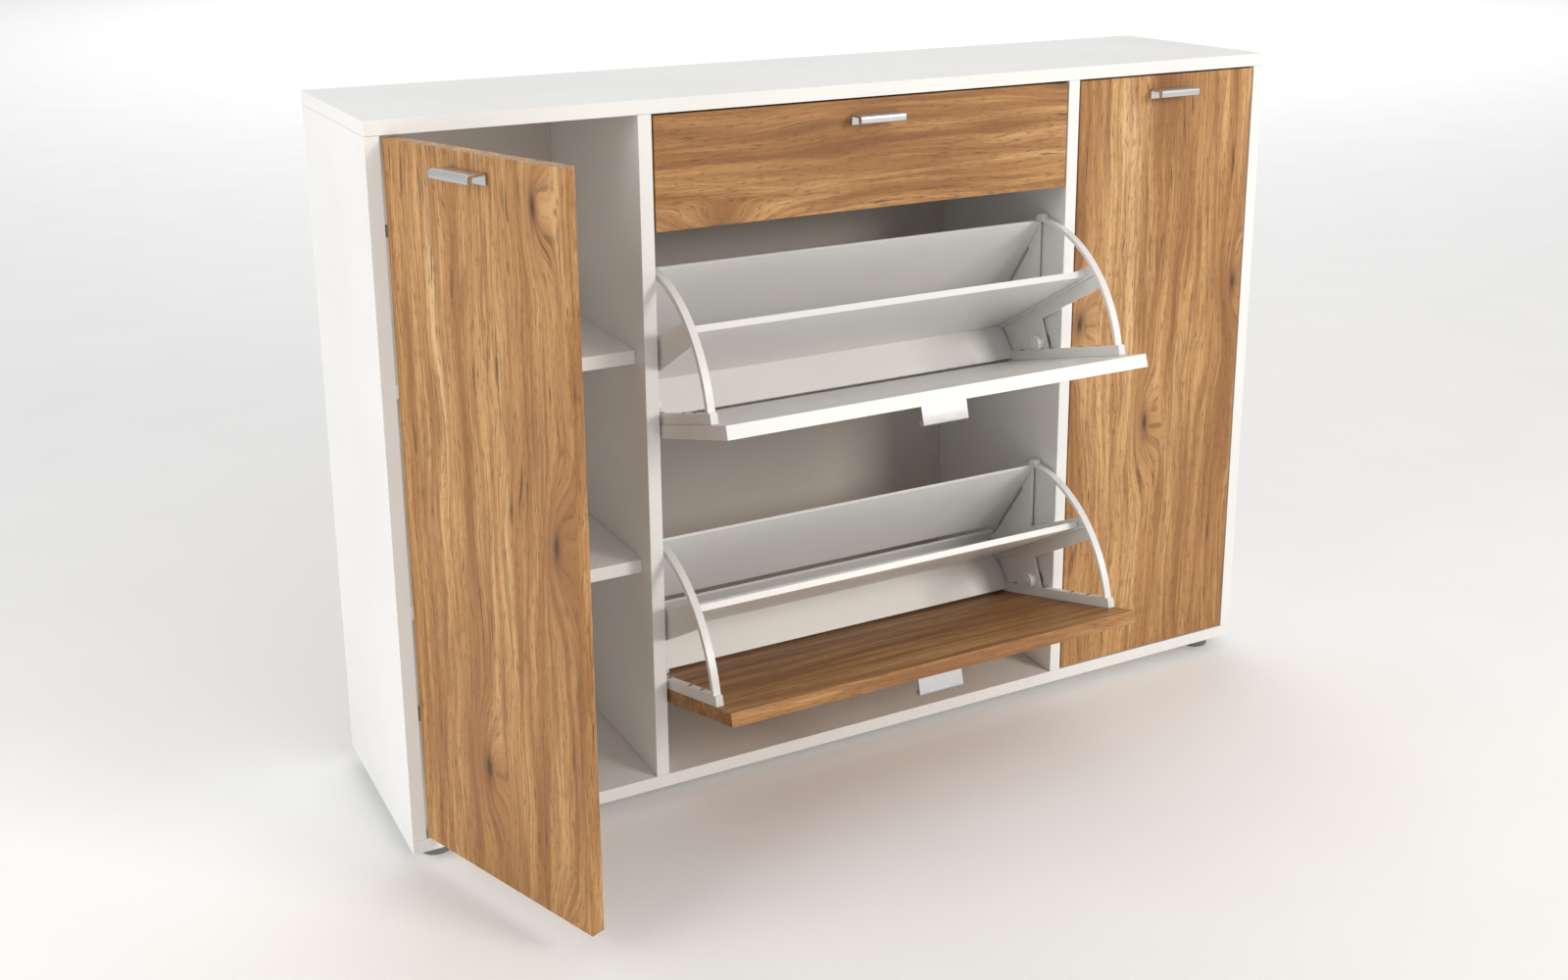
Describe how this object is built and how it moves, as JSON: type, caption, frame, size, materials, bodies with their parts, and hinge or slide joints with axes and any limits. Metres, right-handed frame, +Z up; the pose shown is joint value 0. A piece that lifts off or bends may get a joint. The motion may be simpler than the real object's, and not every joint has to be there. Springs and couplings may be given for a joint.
{
  "type": "shoe cabinet",
  "caption": "White low cabinet with oak-look fronts: shelved side bays behind hinged doors, and a drawer above tilting shoe flaps in the middle.",
  "frame": {"origin": "on the floor under the middle of the plan box of the cabinet as it stands at rest, with its left door and both flaps open", "axes": "+Z up, +Y from the front to the back, +X along the cabinet to its right as seen from the front"},
  "size_m": [1.34, 0.6141, 0.955],
  "materials": {
    "white_board": "white melamine-faced chipboard, satin",
    "oak_board": "oak-look melamine-faced chipboard, matt",
    "white_plastic": "moulded white plastic",
    "grey_plastic": "moulded grey plastic",
    "aluminium": "satin anodised",
    "steel": "nickel-plated pressed steel",
    "coated_steel": "white powder-coated steel"
  },
  "bodies": {
    "carcass": {"back_panel": "white_board", "bottom_board": "white_board", "foot_back_left": "grey_plastic", "foot_back_right": "grey_plastic", "foot_front_left": "grey_plastic", "foot_front_right": "grey_plastic", "left_cabinet_runner": "coated_steel", "left_divider": "white_board", "left_hinge_arm_lower": "steel", "left_hinge_arm_upper": "steel", "left_shelf_lower": "white_board", "left_shelf_upper": "white_board", "left_side": "white_board", "lower_flap_left_bearing": "grey_plastic", "lower_flap_right_bearing": "grey_plastic", "right_cabinet_runner": "coated_steel", "right_divider": "white_board", "right_hinge_arm_lower": "steel", "right_hinge_arm_upper": "steel", "right_shelf_lower": "white_board", "right_shelf_upper": "white_board", "right_side": "white_board", "top_board": "white_board", "upper_flap_left_bearing": "grey_plastic", "upper_flap_right_bearing": "grey_plastic"},
    "left_door": {"left_door": "oak_board", "left_door_handle": "aluminium", "left_hinge_cup_lower": "steel", "left_hinge_cup_upper": "steel"},
    "right_door": {"right_door": "oak_board", "right_door_handle": "aluminium", "right_hinge_cup_lower": "steel", "right_hinge_cup_upper": "steel"},
    "left_door_links": {"left_hinge_link_lower": "steel", "left_hinge_link_upper": "steel"},
    "right_door_links": {"right_hinge_link_lower": "steel", "right_hinge_link_upper": "steel"},
    "drawer": {"drawer_back": "white_board", "drawer_bottom": "white_board", "drawer_front": "oak_board", "drawer_handle": "aluminium", "drawer_left_side": "white_board", "drawer_right_side": "white_board", "left_drawer_runner": "coated_steel", "right_drawer_runner": "coated_steel"},
    "upper_flap": {"upper_flap_handle": "aluminium", "upper_flap_left_bracket": "white_plastic", "upper_flap_lower_back_board": "white_plastic", "upper_flap_middle_board": "white_plastic", "upper_flap_panel": "white_board", "upper_flap_right_bracket": "white_plastic", "upper_flap_upper_back_board": "white_plastic"},
    "lower_flap": {"lower_flap_handle": "aluminium", "lower_flap_left_bracket": "white_plastic", "lower_flap_lower_back_board": "white_plastic", "lower_flap_middle_board": "white_plastic", "lower_flap_panel": "oak_board", "lower_flap_right_bracket": "white_plastic", "lower_flap_upper_back_board": "white_plastic"}
  },
  "joints": [
    {"name": "left_door_hinge", "type": "hinge", "parent": "carcass", "child": "left_door", "pos_m": [-0.6495, -0.013, 0.49], "axis": [0, 0, -1], "range_deg": [-70, 25]},
    {"name": "left_door_link_hinge", "type": "hinge", "parent": "carcass", "child": "left_door_links", "pos_m": [-0.6495, -0.013, 0.49], "axis": [0, 0, -1], "range_deg": [-35, 12.5]},
    {"name": "right_door_hinge", "type": "hinge", "parent": "carcass", "child": "right_door", "pos_m": [0.6495, -0.013, 0.49], "axis": [0, 0, 1], "range_deg": [0, 95]},
    {"name": "right_door_link_hinge", "type": "hinge", "parent": "carcass", "child": "right_door_links", "pos_m": [0.6495, -0.013, 0.49], "axis": [0, 0, 1], "range_deg": [0, 47.5]},
    {"name": "drawer_slide", "type": "slide", "parent": "carcass", "child": "drawer", "axis": [0, -1, 0], "range_m": [0, 0.2]},
    {"name": "upper_flap_pivot", "type": "hinge", "parent": "carcass", "child": "upper_flap", "pos_m": [0, 0.029, 0.549], "axis": [1, 0, 0], "range_deg": [-74, 0]},
    {"name": "lower_flap_pivot", "type": "hinge", "parent": "carcass", "child": "lower_flap", "pos_m": [0, 0.029, 0.17525], "axis": [1, 0, 0], "range_deg": [-74, 0]}
  ],
  "couplings": [
    {"joint": "left_door_link_hinge", "follows": "left_door_hinge", "ratio": 0.5},
    {"joint": "right_door_link_hinge", "follows": "right_door_hinge", "ratio": 0.5}
  ]
}
